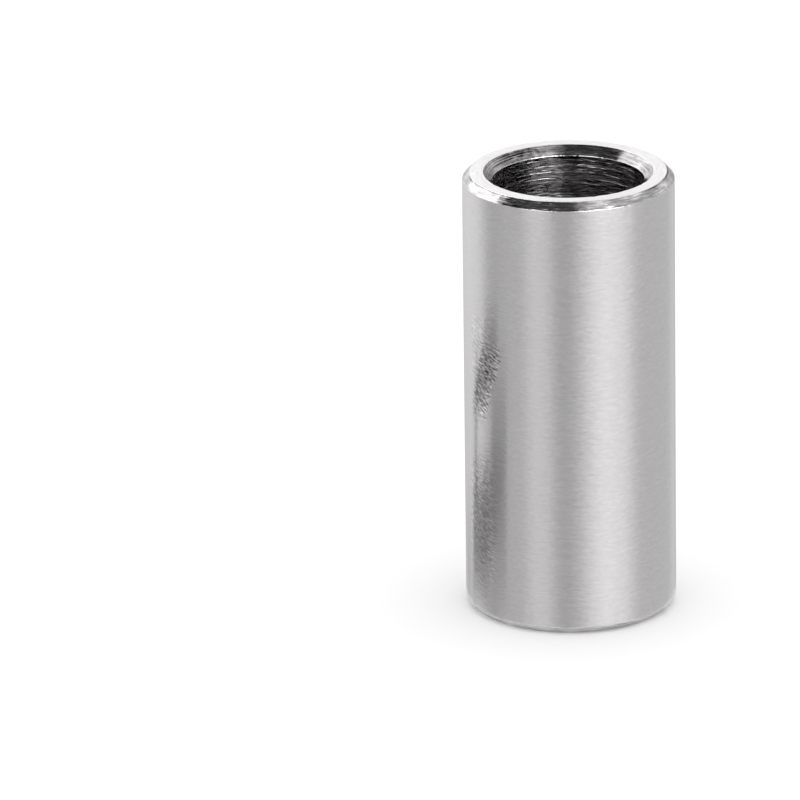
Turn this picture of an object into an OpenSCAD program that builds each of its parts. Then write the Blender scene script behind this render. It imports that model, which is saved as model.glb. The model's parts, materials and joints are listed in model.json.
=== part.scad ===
// Plain cylindrical bushing: one steel sleeve, turned to length, bored through and ground outside.
// It stands on its lower end face. The origin is the middle of that face, and +Z runs along the bore.
// All sizes are in millimetres.

/* [Sleeve] */
// Diameter of the bore that the shaft runs in
bore_d = 10; // [4:0.5:40]
// Thickness of the wall between the bore and the outside
wall_t = 2; // [1.5:0.1:8]
// Length from one end face to the other
sleeve_l = 30; // [6:0.5:120]

/* [Chamfers] */
// Leg of the 45 degree lead-in chamfer around the outside of each end
outer_chamfer = 0.5; // [0.2:0.05:0.7]
// Leg of the 45 degree chamfer in each mouth of the bore
bore_chamfer = 0.6; // [0.2:0.05:0.7]
// Radius that deburring leaves on each edge of the chamfers
edge_break = 0.05; // [0.02:0.01:0.1]

/* [Hidden] */

bore_r = bore_d / 2;
outer_r = bore_r + wall_t;

// Straight pieces that stand for each deburred edge, and sides of the preview's circles
edge_steps = 4;
round_sides = 128;

// Section of one side of the wall as [radius, height], counter-clockwise from the bore's lower mouth
section = [
    [bore_r + bore_chamfer, 0],
    [outer_r - outer_chamfer, 0],
    [outer_r, outer_chamfer],
    [outer_r, sleeve_l - outer_chamfer],
    [outer_r - outer_chamfer, sleeve_l],
    [bore_r + bore_chamfer, sleeve_l],
    [bore_r, sleeve_l - bore_chamfer],
    [bore_r, bore_chamfer]
];

function unit(v) = v / norm(v);

// Arc of radius r that replaces the convex corner between the sides from "before" and to "after"
function broken_corner(before, corner, after, r) =
    let (
        into = unit(corner - before),
        out = unit(after - corner),
        turn = acos(into * out),
        first = corner - into * r * tan(turn / 2),
        centre = first + [-into.y, into.x] * r,
        start = atan2(first.y - centre.y, first.x - centre.x)
    )
    [
        for (i = [0:edge_steps])
            let (at = start + turn * i / edge_steps)
                centre + r * [cos(at), sin(at)]
    ];

// The closed outline with every corner broken by an arc of radius r
function broken_edges(points, r) =
    let (n = len(points))
    [
        for (i = [0:n - 1])
            each broken_corner(points[(i + n - 1) % n], points[i], points[(i + 1) % n], r)
    ];

module bushing() {
    color("silver")
        rotate_extrude($fn = round_sides)
            polygon(broken_edges(section, edge_break));
}

bushing();
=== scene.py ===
"""Look of a plain steel bushing: one finely meshed sleeve with its grinding and tool marks, in soft studio light.

All lengths are in metres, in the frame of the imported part: +Z along the bore, the lower end face at z = 0.
"""
import json
import math

import bpy
import numpy as np
from mathutils import Matrix, Vector


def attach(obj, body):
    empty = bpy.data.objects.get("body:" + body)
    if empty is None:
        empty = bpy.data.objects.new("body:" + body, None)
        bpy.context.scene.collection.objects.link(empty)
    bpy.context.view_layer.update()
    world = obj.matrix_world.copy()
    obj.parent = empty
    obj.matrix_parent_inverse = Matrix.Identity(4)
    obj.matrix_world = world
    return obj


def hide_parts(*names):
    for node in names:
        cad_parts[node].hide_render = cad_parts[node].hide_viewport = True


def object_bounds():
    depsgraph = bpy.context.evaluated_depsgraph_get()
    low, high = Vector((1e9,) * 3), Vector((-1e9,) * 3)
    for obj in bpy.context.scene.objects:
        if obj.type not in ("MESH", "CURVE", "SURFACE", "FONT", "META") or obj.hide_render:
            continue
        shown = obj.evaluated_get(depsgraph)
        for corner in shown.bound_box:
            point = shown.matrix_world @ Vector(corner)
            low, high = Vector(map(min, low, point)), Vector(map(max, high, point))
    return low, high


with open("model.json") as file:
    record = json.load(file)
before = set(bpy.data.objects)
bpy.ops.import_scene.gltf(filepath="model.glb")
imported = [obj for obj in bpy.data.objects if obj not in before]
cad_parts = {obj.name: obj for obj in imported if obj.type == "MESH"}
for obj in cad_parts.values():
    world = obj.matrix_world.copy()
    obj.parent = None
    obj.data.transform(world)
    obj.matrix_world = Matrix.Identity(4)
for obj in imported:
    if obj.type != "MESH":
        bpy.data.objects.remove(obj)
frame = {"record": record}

CAD_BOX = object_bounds()
RECORD = frame["record"]
MOUNTS = {mount["name"]: mount for mount in RECORD["mounts"]}
MM = 0.001
MICRON = 1e-6

# Sizes of the part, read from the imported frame
LENGTH = CAD_BOX[1].z - CAD_BOX[0].z
OUTER_R = CAD_BOX[1].x
BORE_R = MOUNTS["bore"]["dims"]["r_mm"] * MM
OUTER_CHAMFER = (LENGTH - MOUNTS["outside"]["dims"]["length_mm"] * MM) / 2
BORE_CHAMFER = (LENGTH - MOUNTS["bore"]["dims"]["length_mm"] * MM) / 2

# Radii of the deburred edges, written here: the one in the part's source, and a wider one
EDGE_BREAK = 0.05 * MM
WIDE_EDGE_BREAK = 0.09 * MM
# Corners of the section with the wider radius: around the end faces and at the bore's ends
WIDE_EDGES = (1, 4, 6, 7)

# Mesh of the sleeve
SEGMENTS = 256
EDGE_STEPS = 4
WALL_RINGS = 24
CHAMFER_RINGS = 3
FACE_RINGS = 5
RINGS_PER_GROOVE = 4
CORNERS = 8

# The boring tool's helical groove: its pitch, its greatest depth, and how its turns differ
GROOVE_PITCH = 0.42 * MM
GROOVE_DEPTH = 0.020 * MM
GROOVE_SHARES = (0.25, 1.0)
GROOVE_SWAY = 0.25
GROOVE_PHASE = 2.4
SPARE_TURNS = 2

# Wear of the edges: a slow wander all round, and dents at random places, as wide as this many degrees
EDGE_WANDER = 0.008 * MM
WANDER_CYCLES = (7, 90)
WANDER_TERMS = 24
WANDER_REACH = 1.5
NICK_DEPTH = 0.030 * MM
NICK_SHARES = (0.2, 1.0)
NICK_WIDTHS = (0.7, 2.2)
NICKS_PER_EDGE = 22
SEED = 41

# Camera of the photograph, fitted to the sleeve's outline and rims
CAMERA_LENS = 456.98
CAMERA_SENSOR = 36.0
CAMERA_DISTANCE = 672.73 * MM
CAMERA_ELEVATION = math.radians(19.532)
CAMERA_ROLL = math.radians(-0.743)
CAMERA_AIM = Vector((-11.26 * MM, 0, LENGTH / 2 - 0.92 * MM))
CAMERA_CLIP = (0.01, 20.0)

rng = np.random.default_rng(SEED)


def wander(angles, cycles, terms):
    """A smooth random curve around the axis, from about -1 to 1, that closes on itself."""
    curve = np.zeros_like(angles)
    for _ in range(terms):
        curve += np.cos(rng.integers(*cycles) * angles + rng.uniform(0, 2 * math.pi)) / math.sqrt(terms)
    return np.clip(curve, -WANDER_REACH, WANDER_REACH) / WANDER_REACH


def nicks(angles, count):
    """Small dents at random places around an edge, 0 to 1 deep."""
    depth = np.zeros_like(angles)
    for _ in range(count):
        away = np.angle(np.exp(1j * (angles - rng.uniform(0, 2 * math.pi))))
        width = math.radians(rng.uniform(*NICK_WIDTHS))
        depth += rng.uniform(*NICK_SHARES) ** 2 * np.exp(-((away / width) ** 2))
    return np.minimum(depth, 1)


def edge_points(before, corner, after, size):
    """The arc that stands for a deburred edge, from the side that ends at the corner to the next one."""
    into = (corner - before) / np.linalg.norm(corner - before)
    out = (after - corner) / np.linalg.norm(after - corner)
    turn = math.acos(into @ out)
    first = corner - into * size * math.tan(turn / 2)
    centre = first + np.array([-into[1], into[0]]) * size
    start = math.atan2(*(first - centre)[::-1])
    return [
        centre + size * np.array([math.cos(a), math.sin(a)])
        for a in start + turn * np.arange(EDGE_STEPS + 1) / EDGE_STEPS
    ]


def profile():
    """The section's rings as [radius, height], the look of the band after each, and the corner each wears with.

    It runs counter-clockwise from the lower end face's inner edge. A ring that is no part of an edge has -1
    for its corner.
    """
    corners = np.array([
        [BORE_R + BORE_CHAMFER, 0],
        [OUTER_R - OUTER_CHAMFER, 0],
        [OUTER_R, OUTER_CHAMFER],
        [OUTER_R, LENGTH - OUTER_CHAMFER],
        [OUTER_R - OUTER_CHAMFER, LENGTH],
        [BORE_R + BORE_CHAMFER, LENGTH],
        [BORE_R, LENGTH - BORE_CHAMFER],
        [BORE_R, BORE_CHAMFER],
    ])
    bore_rings = round((LENGTH - 2 * BORE_CHAMFER) / GROOVE_PITCH * RINGS_PER_GROOVE)
    sides = [
        (FACE_RINGS, "end"), (CHAMFER_RINGS, "chamfer"), (WALL_RINGS, "wall"), (CHAMFER_RINGS, "chamfer"),
        (FACE_RINGS, "end"), (CHAMFER_RINGS, "mouth"), (bore_rings, "bore"), (CHAMFER_RINGS, "mouth"),
    ]
    arcs = [
        edge_points(corners[i - 1], corners[i], corners[(i + 1) % CORNERS],
                    WIDE_EDGE_BREAK if i in WIDE_EDGES else EDGE_BREAK)
        for i in range(CORNERS)
    ]
    rings, bands, edges = [], [], []
    for i, (count, look) in enumerate(sides):
        for point in arcs[i][:-1]:
            rings.append(point)
            bands.append("edge")
            edges.append(i)
        start, end = arcs[i][-1], arcs[(i + 1) % CORNERS][0]
        for k in range(count):
            rings.append(start + (end - start) * k / count)
            bands.append(look)
            edges.append(i if k == 0 else -1)
    return np.array(rings), bands, edges


def grooves(height, angles, strengths):
    """How deep the boring tool's helical groove is at each place of the bore. No two turns are equally deep."""
    turn = height / GROOVE_PITCH - angles / (2 * math.pi) + SPARE_TURNS
    scallop = 1 - (2 * (turn % 1) - 1) ** 2
    at = turn.astype(int)
    sway = 1 - GROOVE_SWAY + GROOVE_SWAY * np.sin(GROOVE_PHASE * at + (1 + at % 3) * angles)
    return GROOVE_DEPTH * scallop * sway * strengths[at]


def sleeve_mesh():
    """The sleeve as one closed mesh of rings, with a strip UV map and one material index for each band."""
    rings, bands, edges = profile()
    angles = 2 * math.pi * np.arange(SEGMENTS) / SEGMENTS
    radius = np.repeat(rings[:, :1], SEGMENTS, 1)
    height = np.repeat(rings[:, 1:], SEGMENTS, 1)
    middle = np.array([(BORE_R + OUTER_R) / 2, LENGTH / 2])
    strengths = rng.uniform(*GROOVE_SHARES, round(LENGTH / GROOVE_PITCH) + 2 * SPARE_TURNS)
    wear = [
        EDGE_WANDER * (1 + wander(angles, WANDER_CYCLES, WANDER_TERMS)) / 2
        + NICK_DEPTH * nicks(angles, NICKS_PER_EDGE)
        for _ in range(CORNERS)
    ]
    for i, edge in enumerate(edges):
        if edge >= 0:
            inward = np.sign(middle - rings[i]) * math.sqrt(0.5)
            radius[i] += inward[0] * wear[edge]
            height[i] += inward[1] * wear[edge]
        elif bands[i] == "bore":
            radius[i] += grooves(height[i], angles, strengths)
    points = np.stack([radius * np.cos(angles), radius * np.sin(angles), height], 2).reshape(-1, 3)

    count = len(rings)
    ring = np.repeat(np.arange(count), SEGMENTS)
    step = np.tile(np.arange(SEGMENTS), count)
    up, on = (ring + 1) % count, (step + 1) % SEGMENTS
    quads = np.stack([ring * SEGMENTS + step, ring * SEGMENTS + on, up * SEGMENTS + on, up * SEGMENTS + step], 1)

    mesh = bpy.data.meshes.new("turned_sleeve")
    mesh.from_pydata(points.tolist(), [], quads.tolist())
    mesh.polygons.foreach_set("use_smooth", np.ones(len(quads), bool))
    looks = ["wall", "chamfer", "end", "mouth", "bore", "edge"]
    mesh.polygons.foreach_set("material_index", np.array([looks.index(bands[r]) for r in ring], np.int32))

    arc = np.linalg.norm(np.roll(rings, -1, 0) - rings, axis=1)
    at = np.concatenate([[0], np.cumsum(arc)]) / arc.sum()
    u0, u1 = step / SEGMENTS, (step + 1) / SEGMENTS
    v0, v1 = at[ring], at[ring + 1]
    strip = np.stack([u0, v0, u1, v0, u1, v1, u0, v1], 1).reshape(-1)
    mesh.uv_layers.new(name="OFBake").data.foreach_set("uv", strip.astype(np.float32))
    mesh.validate()
    mesh.update()
    return mesh


# How many bends the marks make in a metre, and how far apart in the noise the layers and the ridges are read
BENDS_PER_METRE = 180.0
LAYER_STEP = 11.3
RIDGE_STEP = 7.7

# A quarter of a turn, which lays the long gloss across the marks
GLOSS_TURN = 0.25


def node(tree, kind, inputs=None, **props):
    """A new node with its properties and inputs set. An input is a number, a colour or another node's output."""
    made = tree.nodes.new(kind)
    for name, value in props.items():
        setattr(made, name, value)
    for name, value in (inputs or {}).items():
        if isinstance(value, bpy.types.NodeSocket):
            tree.links.new(value, made.inputs[name])
        else:
            made.inputs[name].default_value = value
    return made


def math_node(tree, operation, a, b=0.0, c=0.0):
    """The output of a Math node."""
    return node(tree, "ShaderNodeMath", {0: a, 1: b, 2: c}, operation=operation).outputs[0]


def smooth_step(tree, value, low, high, to_low=0.0, to_high=1.0):
    """The value's smooth change from to_low at low to to_high at high."""
    return node(
        tree, "ShaderNodeMapRange",
        {"Value": value, "From Min": low, "From Max": high, "To Min": to_low, "To Max": to_high},
        interpolation_type="SMOOTHSTEP",
    ).outputs["Result"]


def window(tree, offset, inside, feather):
    """1 while the offset is within inside, falling smoothly to 0 over the feather."""
    return smooth_step(tree, math_node(tree, "ABSOLUTE", offset), inside, inside + feather, 1.0, 0.0)


def ringed_place(tree, place, across, layer, seed):
    """Where the noise is read for marks that run around the axis."""
    x, y, _ = node(tree, "ShaderNodeSeparateXYZ", {0: place}).outputs
    bend = node(
        tree, "ShaderNodeTexNoise", {"Vector": place, "Scale": BENDS_PER_METRE, "Detail": 1.0}
    ).outputs["Fac"]
    bent = math_node(tree, "MULTIPLY_ADD", bend, layer["bend"], across)
    return node(tree, "ShaderNodeCombineXYZ", {
        0: math_node(tree, "MULTIPLY", x, layer["around"]),
        1: math_node(tree, "MULTIPLY", y, layer["around"]),
        2: math_node(tree, "MULTIPLY_ADD", bent, layer["across"], seed),
    }).outputs[0]


def leaning_place(tree, place, layer, seed):
    """Where the noise is read for marks on the outer wall that climb to the right at the layer's lean."""
    x, y, z = node(tree, "ShaderNodeSeparateXYZ", {0: place}).outputs
    turn = math_node(tree, "ARCTAN2", x, math_node(tree, "MULTIPLY", y, -1.0))
    lean = math.radians(layer["lean"])
    risen, level = math_node(tree, "MULTIPLY", z, math.sin(lean)), math_node(tree, "MULTIPLY", z, math.cos(lean))
    along = math_node(tree, "MULTIPLY_ADD", turn, OUTER_R * math.cos(lean), risen)
    beside = math_node(tree, "MULTIPLY_ADD", turn, -OUTER_R * math.sin(lean), level)
    return node(tree, "ShaderNodeCombineXYZ", {
        0: math_node(tree, "MULTIPLY", along, layer["around"]),
        1: math_node(tree, "MULTIPLY", beside, layer["across"]),
        2: seed,
    }).outputs[0]


def grain(tree, place, across, layer, seed):
    """Noise drawn out along the marks of a layer, from 0 to 1."""
    if layer["lean"]:
        at = leaning_place(tree, place, layer, seed)
    else:
        at = ringed_place(tree, place, across, layer, seed)
    noise = node(
        tree, "ShaderNodeTexNoise", {"Vector": at, "Scale": 1.0, "Detail": 1.0, "Roughness": 0.5}
    ).outputs["Fac"]
    reach = 0.5 / layer["contrast"]
    return node(
        tree, "ShaderNodeMapRange", {"Value": noise, "From Min": 0.5 - reach, "From Max": 0.5 + reach}
    ).outputs["Result"]


def layer(around, across, contrast, bump, rough, shade, bend=0.0, patch=None, middle=0.5, lean=0.0):
    """One layer of marks: how many there are to a metre around and across, and what they change.

    A patch limits them: azimuth, half width, feather, height, half height, feather, and azimuth for each metre up.
    The middle is the grain's value that changes nothing. Marks with a lean climb to the right by that many degrees.
    """
    return {"around": around, "across": across, "contrast": contrast, "bump": bump, "rough": rough,
            "shade": shade, "bend": bend, "patch": patch, "middle": middle, "lean": lean}


def patch_share(tree, x, y, z, patch):
    """1 inside the patch, falling smoothly to 0 around it. Azimuth 0 is the camera's side, and -90 the left."""
    azimuth, width, feather, height, tall, fade, slant = patch
    turn = math_node(tree, "ARCTAN2", x, math_node(tree, "MULTIPLY", y, -1.0))
    rise = math_node(tree, "SUBTRACT", z, height)
    middle = math_node(tree, "MULTIPLY_ADD", rise, slant, azimuth)
    off = math_node(tree, "MULTIPLY_ADD", turn, 180 / math.pi, math_node(tree, "MULTIPLY", middle, -1.0))
    return math_node(tree, "MULTIPLY", window(tree, off, width, feather), window(tree, rise, tall, fade))


def tool_ridges(tree, x, y, z):
    """1 on the sharp crest between two turns of the boring tool's groove, which grooves() cuts, and 0 away from it."""
    angle = math_node(tree, "ARCTAN2", y, x)
    begun = math_node(tree, "MULTIPLY", angle, -1 / (2 * math.pi))
    turn = math_node(tree, "MULTIPLY_ADD", z, 1 / GROOVE_PITCH, begun)
    return smooth_step(tree, math_node(tree, "PINGPONG", turn, 0.5), 0.0, RIDGE_WIDTH, 1.0, 0.0)


def layered_marks(tree, place, across, roughness, layers):
    """The surface's height, roughness and share of its colour under all the layers of marks."""
    x, y, z = node(tree, "ShaderNodeSeparateXYZ", {0: place}).outputs
    height, rough, shade = 0.0, roughness, 1.0
    for number, marks in enumerate(layers):
        drawn = grain(tree, place, across, marks, LAYER_STEP * number)
        centred = math_node(tree, "SUBTRACT", drawn, marks["middle"])
        if marks["patch"]:
            centred = math_node(tree, "MULTIPLY", centred, patch_share(tree, x, y, z, marks["patch"]))
        height = math_node(tree, "MULTIPLY_ADD", centred, marks["bump"], height)
        rough = math_node(tree, "MULTIPLY_ADD", centred, marks["rough"], rough)
        shade = math_node(tree, "MULTIPLY_ADD", centred, marks["shade"], shade)
    return height, rough, shade


def steel(name, across_is, colour, roughness, anisotropy, layers, ridges=None):
    """Bare steel with marks that run around the axis, side by side along the height or along the radius."""
    material = bpy.data.materials.new(name)
    material.use_nodes = True
    tree = material.node_tree
    shader = tree.nodes["Principled BSDF"]
    place = node(tree, "ShaderNodeTexCoord").outputs["Object"]
    x, y, z = node(tree, "ShaderNodeSeparateXYZ", {0: place}).outputs
    across = z
    if across_is == "radius":
        flat = node(tree, "ShaderNodeCombineXYZ", {0: x, 1: y}).outputs[0]
        across = node(tree, "ShaderNodeVectorMath", {0: flat}, operation="LENGTH").outputs["Value"]

    height, rough, shade = layered_marks(tree, place, across, roughness, layers)
    if ridges:
        sharpness = math_node(tree, "POWER", grain(tree, place, across, ridges, RIDGE_STEP), 2.0)
        crest = math_node(tree, "MULTIPLY", tool_ridges(tree, x, y, z), sharpness)
        height = math_node(tree, "MULTIPLY_ADD", crest, ridges["bump"], height)
    bump = node(tree, "ShaderNodeBump", {"Height": height, "Strength": 1.0, "Distance": 1.0}).outputs[0]
    tint = node(tree, "ShaderNodeVectorMath", {0: colour, 3: shade}, operation="SCALE").outputs[0]
    tangent = node(tree, "ShaderNodeTangent", direction_type="RADIAL", axis="Z").outputs[0]

    tree.links.new(tint, shader.inputs["Base Color"])
    tree.links.new(rough, shader.inputs["Roughness"])
    tree.links.new(bump, shader.inputs["Normal"])
    tree.links.new(tangent, shader.inputs["Tangent"])
    shader.inputs["Metallic"].default_value = 1.0
    shader.inputs["Anisotropic"].default_value = anisotropy
    shader.inputs["Anisotropic Rotation"].default_value = GLOSS_TURN
    return material


# Strokes painted into the ground wall's colour where it mirrors the dark flag: painted glints over small real bumps.
# The first also darkens the dark band a little, as a painted reflection
PAINTED_GLINTS_BAND = (-53, 5, 5, 16.9 * MM, 1.5 * MM, 1.9 * MM, 2600)
PAINTED_GLINTS_LOW = (-58, 6, 11, 7 * MM, 2.2 * MM, 3.4 * MM, 0)
PAINTED_GLINTS_FAINT = (-57, 8, 4, 18.9 * MM, 1.5 * MM, 1.2 * MM, 0)
# Dark lines between the end face and the chamfer: painted shade along the edge, in colour alone
PAINTED_EDGE_SHADE_RIGHT = (74, 18, 14, LENGTH, 0.05 * MM, 0.06 * MM, 0)
PAINTED_EDGE_SHADE_LEFT = (-60, 16, 12, LENGTH, 0.05 * MM, 0.06 * MM, 0)
# Where the mouth shows the tool's rings most, in colour alone. They also make the mouth darker there on the whole
RINGED = (-118, 20, 22, LENGTH, 1 * MM, 1 * MM, 0)
# Where the mouth looks darker and finely speckled. It changes the colour alone, to match the photograph's tone
SPECKLED = (-144, 15, 10, LENGTH, 1 * MM, 1 * MM, 0)
# Where the bore is more matt and a little lighter in colour than the rest, so that it stays evenly grey beside the
# reflections
MATT_LEFT = (-162, 9, 8, LENGTH, 12 * MM, 2 * MM, 0)
# A ring of painted shade under the rim at the top of the bore, in colour alone
PAINTED_SHADE_UNDER_RIM = (0, 181, 1, LENGTH - BORE_CHAMFER - 0.14 * MM, 0.06 * MM, 0.10 * MM, 0)
RIDGE_WIDTH = 0.13
RIDGE_HEIGHT = 17 * MICRON


def steel_looks():
    """The six finishes, in the order of the mesh's material indices."""
    return [
        steel("ground_wall", "height", (0.655, 0.642, 0.648), 0.20, 0.35, [
            layer(2400, 7000, 1.6, 6 * MICRON, 0.03, 0.07, bend=0.15 * MM),
            layer(900, 4200, 1.5, 5 * MICRON, 0.03, 0.04, bend=0.15 * MM),
            layer(160, 600, 1.0, 0.0, 0.03, 0.02),
            # Painted glints where the wall mirrors the dark flag; the first layer also darkens the dark band as a
            # painted reflection
            layer(2400, 9500, 3.4, 3 * MICRON, 0.0, 1.45, patch=PAINTED_GLINTS_BAND, middle=0.56, lean=-20),
            layer(2600, 10500, 3.2, 3 * MICRON, 0.0, 0.74, patch=PAINTED_GLINTS_LOW, lean=-18),
            layer(2600, 9500, 3.2, 2 * MICRON, 0.0, 0.34, patch=PAINTED_GLINTS_FAINT, lean=-20),
        ]),
        steel("turned_chamfer", "height", (0.71, 0.695, 0.70), 0.075, 0.5, [
            layer(700, 11000, 2.8, 6 * MICRON, 0.22, 0.44),
            layer(300, 5500, 2.4, 6 * MICRON, 0.07, 0.14),
            layer(1300, 9500, 3.0, 6 * MICRON, 0.12, 0.40),
            # Painted shade: dark lines where the end face meets the chamfer
            layer(400, 3000, 1.6, 0.0, 0.0, 1.20, patch=PAINTED_EDGE_SHADE_RIGHT, middle=1.0),
            layer(400, 3000, 1.6, 0.0, 0.0, 0.80, patch=PAINTED_EDGE_SHADE_LEFT, middle=1.0),
        ]),
        steel("faced_end", "radius", (0.725, 0.71, 0.715), 0.20, 0.6, [
            layer(1200, 9000, 2.0, 4 * MICRON, 0.06, 0.18),
            layer(260, 3600, 1.6, 8 * MICRON, 0.05, 0.12),
        ]),
        # The mouth is given a darker colour than the steel outside
        steel("countersunk_mouth", "height", (0.49, 0.477, 0.482), 0.15, 0.5, [
            layer(1500, 11500, 2.6, 5 * MICRON, 0.08, 0.50),
            layer(120, 9000, 3.0, 4 * MICRON, 0.06, 0.34),
            layer(50, 17000, 3.0, 0.0, 0.0, 0.90, patch=RINGED, middle=0.60),
            layer(3000, 7500, 3.0, 0.0, 0.0, 0.60, patch=SPECKLED, middle=1.0),
        ]),
        # The bore is given a darker colour than the steel outside: painted shade of the bore's depth
        steel("bored_wall", "height", (0.51, 0.497, 0.502), 0.20, 0.6, [
            layer(1700, 9000, 2.4, 13 * MICRON, 0.08, 0.40, bend=0.12 * MM),
            layer(700, 4500, 2.2, 7 * MICRON, 0.08, 0.20, bend=0.3 * MM),
            layer(1700, 5000, 2.0, 0.0, 0.19, 0.10, bend=0.3 * MM, patch=MATT_LEFT, middle=0.0),
            # A ring of painted shade under the rim of the bore
            layer(900, 3000, 1.5, 0.0, 0.0, 1.30, patch=PAINTED_SHADE_UNDER_RIM, middle=1.0),
        ], ridges=layer(450, 2400, 2.6, RIDGE_HEIGHT, 0.0, 0.0)),
        steel("broken_edge", "height", (0.75, 0.735, 0.74), 0.10, 0.0, [
            layer(5200, 6500, 2.4, 9 * MICRON, 0.12, 0.45),
        ]),
    ]


def build_sleeve():
    """The visible bushing, which stands for the CAD node."""
    sleeve = bpy.data.objects.new("turned_sleeve", sleeve_mesh())
    bpy.context.scene.collection.objects.link(sleeve)
    for look in steel_looks():
        sleeve.data.materials.append(look)
    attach(sleeve, "root")
    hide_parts("bushing")
    return sleeve


# Soft boxes and cards around the table: azimuth, half width, feather, elevation, half height, feather, radiance,
# and how far the azimuth moves for each degree of elevation. Azimuth 0 is the camera's side and +90 is the right.
# Their places and strengths are fitted to the light and dark bands in the photograph's steel.
BASE_LIGHT = 0.53
PANELS = {
    "left_card": (-137.7, 16, 33, -40, 60, 15, 0.394, 0),
    "left_box": (-135.8, 37, 2, 35, 14, 9, 0.88, -0.84),
    "dark_far_left": (-168, 14, 14, -40, 43, 8, -0.10, 0),
    "front_left_wide": (-57, 0, 52, -40, 60, 15, 0.092, 0),
    "front_left_box": (-33, 4, 21, -40, 60, 15, 0.222, 0),
    "front_right_box": (41, 0.5, 46, -40, 60, 15, 0.552, 0),
    "right_card": (107.7, 42, 18, -40, 60, 15, 0.137, 0),
    "right_back_card": (167.6, 12.7, 24, -40, 60, 15, 0.08, 0),
    "right_mid": (136, 8, 6, 20, 6, 4, 0.14, 0),
    "right_high": (88.5, 37.5, 45, 68, 18, 6, 0.48, 0),
    "right_high_strip": (62, 12, 6, 64, 8, 5, 0.25, 0),
    "front_high_right": (37, 22, 8, 26, 22, 8, 2.75, 0),
    "front_high_left": (-32, 14, 6, 26, 22, 8, 1.40, 0),
    "back_sheet": (180, 14, 14, 24, 14, 8, 0.55, 0),
    "dark_right_line": (159, 6, 4, 26, 18, 4, -0.80, -0.4),
    "dim_left_line": (-156, 5, 4, 33, 12, 5, -0.40, 0.3),
    "back_ceiling": (180, 62, 10, 68, 22, 4, 0.55, 0),
    "dark_ceiling": (0, 181, 1, 90, 40, 4, -0.47, 0),
    "dark_front_left": (-52, 40, 6, 44, 6, 4, -0.40, -0.84),
    "dark_back_right": (157, 12, 8, 6, 8, 6, -0.24, 0),
    "dark_below": (0, 181, 1, -90, 42, 12, -0.26, 0),
}
DARKEST_LIGHT = 0.01
TENT_LIGHT = 1.13
BACKDROP_LIGHT = 1.05


def panel_light(tree, azimuth, elevation):
    """The light from a direction: the base light with all the soft boxes and cards."""
    light = node(tree, "ShaderNodeValue").outputs[0]
    light.default_value = BASE_LIGHT
    for centre, width, feather, height, tall, fade, radiance, slant in PANELS.values():
        rise = math_node(tree, "SUBTRACT", elevation, height)
        middle = math_node(tree, "MULTIPLY_ADD", rise, slant, centre)
        off = math_node(tree, "WRAP", math_node(tree, "SUBTRACT", azimuth, middle), 180.0, -180.0)
        patch = math_node(
            tree, "MULTIPLY", window(tree, off, width, feather), window(tree, rise, tall, fade))
        light = math_node(tree, "MULTIPLY_ADD", patch, radiance, light)
    return math_node(tree, "MAXIMUM", light, DARKEST_LIGHT)


def studio_world():
    """Soft studio light from all round, with the soft boxes that show in the steel as upright bands.

    The table is lit evenly, as in a light tent, and the backdrop is plain white.
    """
    world = bpy.data.worlds.new("studio")
    bpy.context.scene.world = world
    world.cycles.sampling_method = "NONE"
    world.use_nodes = True
    tree = world.node_tree
    way = node(tree, "ShaderNodeTexCoord").outputs["Generated"]
    x, y, z = node(tree, "ShaderNodeSeparateXYZ", {0: way}).outputs
    degree = 180 / math.pi
    azimuth = math_node(tree, "MULTIPLY", math_node(
        tree, "ARCTAN2", x, math_node(tree, "MULTIPLY", y, -1.0)), degree)
    elevation = math_node(tree, "MULTIPLY", math_node(tree, "ARCSINE", z), degree)
    light = panel_light(tree, azimuth, elevation)
    path = node(tree, "ShaderNodeLightPath").outputs
    on_table = math_node(tree, "GREATER_THAN", path["Diffuse Depth"], 0.5)
    for way_in, level in ((on_table, TENT_LIGHT), (path["Is Camera Ray"], BACKDROP_LIGHT)):
        light = node(tree, "ShaderNodeMix", {0: way_in, 2: light, 3: level}, data_type="FLOAT").outputs[0]
    tree.links.new(light, tree.nodes["Background"].inputs["Strength"])
    tree.nodes["Background"].inputs["Color"].default_value = (1, 1, 1, 1)


# The table's radius, and the radii of the part that shows in the steel and of its least hole
TABLE_REACH = 3.0
TABLE_NEAR = 7.8 * MM
TABLE_HOLE = 0.01 * MM
TABLE_SIDES = 64
# How far the table reaches under the lower end face from either side
TABLE_LAP = 0.12 * MM
# The gap that keeps the table's plane apart from the lower end face
TABLE_GAP = 0.02 * MM
TABLE_ALBEDO = 0.9
TOP_LIGHT_SIZE = 0.5
TOP_LIGHT_HEIGHT = 0.45
TOP_LIGHT_SIDE = 0.04
TOP_LIGHT_POWER = 0.3

# The dark flag: a strip around the axis that only the steel's reflections show
FLAG_DISTANCE = 20 * MM
FLAG_AZIMUTHS = (-52, -190)
FLAG_HEIGHTS = (-8 * MM, 22 * MM)
FLAG_STEPS = 48
FLAG_LIGHT = 0.06
FLAG_TINT = (1.0, 0.93, 0.90, 1)
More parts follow.
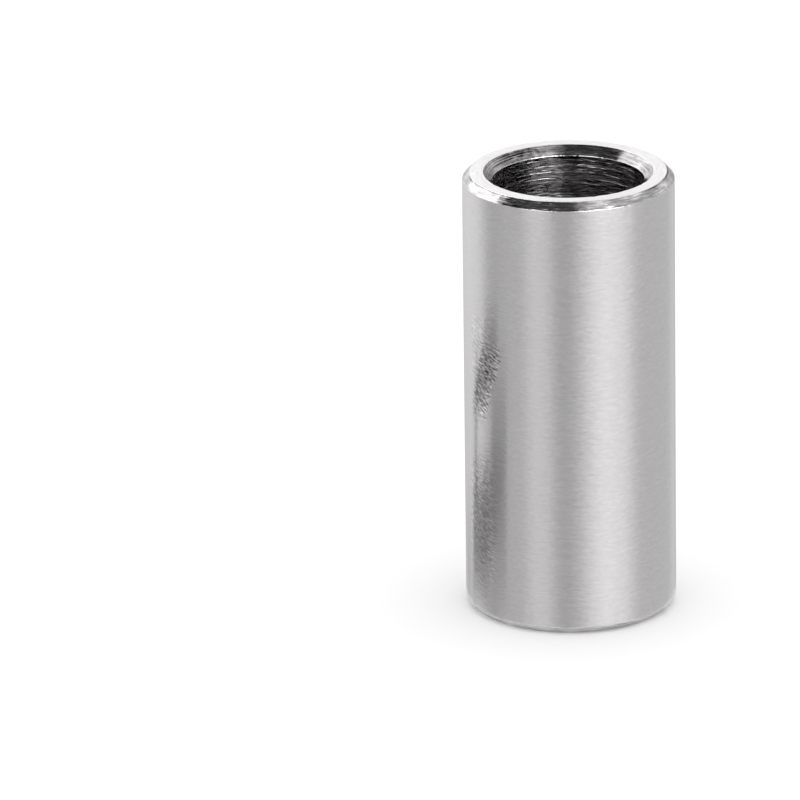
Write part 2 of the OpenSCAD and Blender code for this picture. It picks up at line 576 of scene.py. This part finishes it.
# The flag's dark patches: azimuth, half width, feather, height, half height, feather, azimuth for each metre up,
# and the share of the light that it takes away. They are fitted to the dark places at the left of the wall.
FLAG_PATCHES = {
    "slanted_band": (-92, 8, 4, 11.8 * MM, 1.1 * MM, 2.2 * MM, 4487, 0.66),
    "band_top": (-81, 6, 5, 15.5 * MM, 0.2 * MM, 2.1 * MM, 807, 0.40),
    "right_column": (-72, 8, 3, 5.1 * MM, 2.1 * MM, 10.4 * MM, 157, 0.37),
    "low_dark": (-99, 8, 14, 0.8 * MM, 2.0 * MM, 5.1 * MM, 734, 0.51),
    "low_right": (-84, 10, 8, 3.1 * MM, 2.8 * MM, 1.6 * MM, 2195, 0.15),
    "low_tail": (-106, 20, 18, -8.0 * MM, 1.6 * MM, 11.4 * MM, -890, 0.26),
    "far_left": (-156, 24, 9, -3.7 * MM, 2.1 * MM, 26.3 * MM, 1979, 0.13),
    "left_line": (-108, 2, 1, 6.2 * MM, 2.6 * MM, 8.7 * MM, 591, 0.48),
}

# The bore's card: its sides across the view, its heights over the upper end face, and its light
CARD_SIDES = (-1.9 * MM, 2.3 * MM)
CARD_HEIGHTS = (1.2 * MM, 8 * MM)
CARD_LIGHT = 0.01


def around(azimuth, distance, height=0.0):
    """A place around the bore's axis. Azimuth 0 is the camera's side and +90 is the right."""
    angle = math.radians(azimuth)
    return (distance * math.sin(angle), -distance * math.cos(angle), height)


def stage_mesh(name, points, faces, material):
    """A piece of the studio, which is not part of the bushing."""
    mesh = bpy.data.meshes.new(name)
    mesh.from_pydata(points, [], faces)
    mesh.materials.append(material)
    piece = bpy.data.objects.new(name, mesh)
    bpy.context.scene.collection.objects.link(piece)
    return piece


def bare_material(name):
    """A new material without any nodes."""
    material = bpy.data.materials.new(name)
    material.use_nodes = True
    material.node_tree.nodes.clear()
    return material


def only_reflected(piece):
    """Keeps a piece of the studio out of everything but the reflections."""
    piece.visible_camera = False
    piece.visible_diffuse = False
    piece.visible_shadow = False


def pale_table():
    """Plain matt white that shows from above only, so that the underside can be looked at too."""
    material = bare_material("pale_table")
    tree = material.node_tree
    pale = node(tree, "ShaderNodeBsdfDiffuse", {"Color": (*[TABLE_ALBEDO] * 3, 1)}).outputs[0]
    clear = node(tree, "ShaderNodeBsdfTransparent").outputs[0]
    below = node(tree, "ShaderNodeNewGeometry").outputs["Backfacing"]
    both = node(tree, "ShaderNodeMixShader", {0: below, 1: pale, 2: clear}).outputs[0]
    node(tree, "ShaderNodeOutputMaterial", {"Surface": both})
    return material


def table_ring(name, inner, outer, material):
    """A flat ring of the table between two radii."""
    steps = range(TABLE_SIDES)
    points = [around(i * 360 / TABLE_SIDES, radius, -TABLE_GAP) for radius in (inner, outer) for i in steps]
    faces = [(i, TABLE_SIDES + i, TABLE_SIDES + (i + 1) % TABLE_SIDES, (i + 1) % TABLE_SIDES) for i in steps]
    return stage_mesh(name, points, faces, material)


def build_table():
    """A plain pale table. Only its middle, which the sleeve shades, shows in the steel.

    It is open under the lower end face, which otherwise shows nothing but the table's shade from below.
    """
    material = pale_table()
    table = table_ring("table", TABLE_NEAR, TABLE_REACH, material)
    table.visible_glossy = False
    table_ring("table_middle", OUTER_R - OUTER_CHAMFER - TABLE_LAP, TABLE_NEAR, material)
    table_ring("table_in_bore", TABLE_HOLE, BORE_R + BORE_CHAMFER + TABLE_LAP, material)


def build_flag():
    """A dark studio flag with clear places, at the left. Only the steel's reflections show it."""
    material = bare_material("dark_flag")
    tree = material.node_tree
    place = node(tree, "ShaderNodeTexCoord").outputs["Object"]
    x, y, z = node(tree, "ShaderNodeSeparateXYZ", {0: place}).outputs
    taken = 0.0
    for *patch, share in FLAG_PATCHES.values():
        taken = math_node(tree, "MULTIPLY_ADD", patch_share(tree, x, y, z, patch), share, taken)
    taken = math_node(tree, "MINIMUM", taken, 1.0)
    clear = node(tree, "ShaderNodeBsdfTransparent").outputs[0]
    dark = node(tree, "ShaderNodeEmission", {"Color": FLAG_TINT, "Strength": FLAG_LIGHT}).outputs[0]
    both = node(tree, "ShaderNodeMixShader", {0: taken, 1: clear, 2: dark}).outputs[0]
    node(tree, "ShaderNodeOutputMaterial", {"Surface": both})
    azimuths = np.linspace(*FLAG_AZIMUTHS, FLAG_STEPS + 1)
    points = [around(a, FLAG_DISTANCE, height) for height in FLAG_HEIGHTS for a in azimuths]
    strip = [(i, i + 1, FLAG_STEPS + 2 + i, FLAG_STEPS + 1 + i) for i in range(FLAG_STEPS)]
    only_reflected(stage_mesh("dark_flag", points, strip, material))


def build_bore_card():
    """A small dark card over the front of the mouth, for the dark band in the bore. Only reflections show it."""
    material = bare_material("bore_card")
    tree = material.node_tree
    dark = node(tree, "ShaderNodeEmission", {"Strength": CARD_LIGHT}).outputs[0]
    node(tree, "ShaderNodeOutputMaterial", {"Surface": dark})
    left, right = CARD_SIDES
    low, high = LENGTH + CARD_HEIGHTS[0], LENGTH + CARD_HEIGHTS[1]
    points = [(left, -BORE_R, low), (right, -BORE_R, low), (right, -BORE_R, high), (left, -BORE_R, high)]
    only_reflected(stage_mesh("bore_card", points, [(0, 1, 2, 3)], material))


def build_top_light():
    """A wide soft light overhead. It lights the table and is kept out of the steel's reflections."""
    lamp = bpy.data.lights.new("top_soft_light", "AREA")
    lamp.shape = "DISK"
    lamp.size = TOP_LIGHT_SIZE
    lamp.energy = TOP_LIGHT_POWER
    light = bpy.data.objects.new("top_soft_light", lamp)
    light.location = (TOP_LIGHT_SIDE, 0, TOP_LIGHT_HEIGHT)
    light.visible_glossy = False
    bpy.context.scene.collection.objects.link(light)


def build_camera():
    """The photograph's viewpoint: a long lens, looking down at the sleeve from the front."""
    middle = Vector((0, 0, LENGTH / 2))
    place = middle + CAMERA_DISTANCE * Vector((0, -math.cos(CAMERA_ELEVATION), math.sin(CAMERA_ELEVATION)))
    ahead = (CAMERA_AIM - place).normalized()
    level = ahead.cross(Vector((0, 0, 1))).normalized()
    upright = level.cross(ahead)
    right = math.cos(CAMERA_ROLL) * level + math.sin(CAMERA_ROLL) * upright
    up = math.cos(CAMERA_ROLL) * upright - math.sin(CAMERA_ROLL) * level
    data = bpy.data.cameras.new("camera")
    data.lens = CAMERA_LENS
    data.sensor_width = CAMERA_SENSOR
    data.clip_start, data.clip_end = CAMERA_CLIP
    camera = bpy.data.objects.new("camera", data)
    camera.matrix_world = Matrix((
        (right.x, up.x, -ahead.x, place.x),
        (right.y, up.y, -ahead.y, place.y),
        (right.z, up.z, -ahead.z, place.z),
        (0, 0, 0, 1),
    ))
    bpy.context.scene.collection.objects.link(camera)
    bpy.context.scene.camera = camera


build_sleeve()
build_table()
build_flag()
build_bore_card()
build_top_light()
studio_world()
build_camera()
bpy.context.scene.view_settings.view_transform = "Standard"
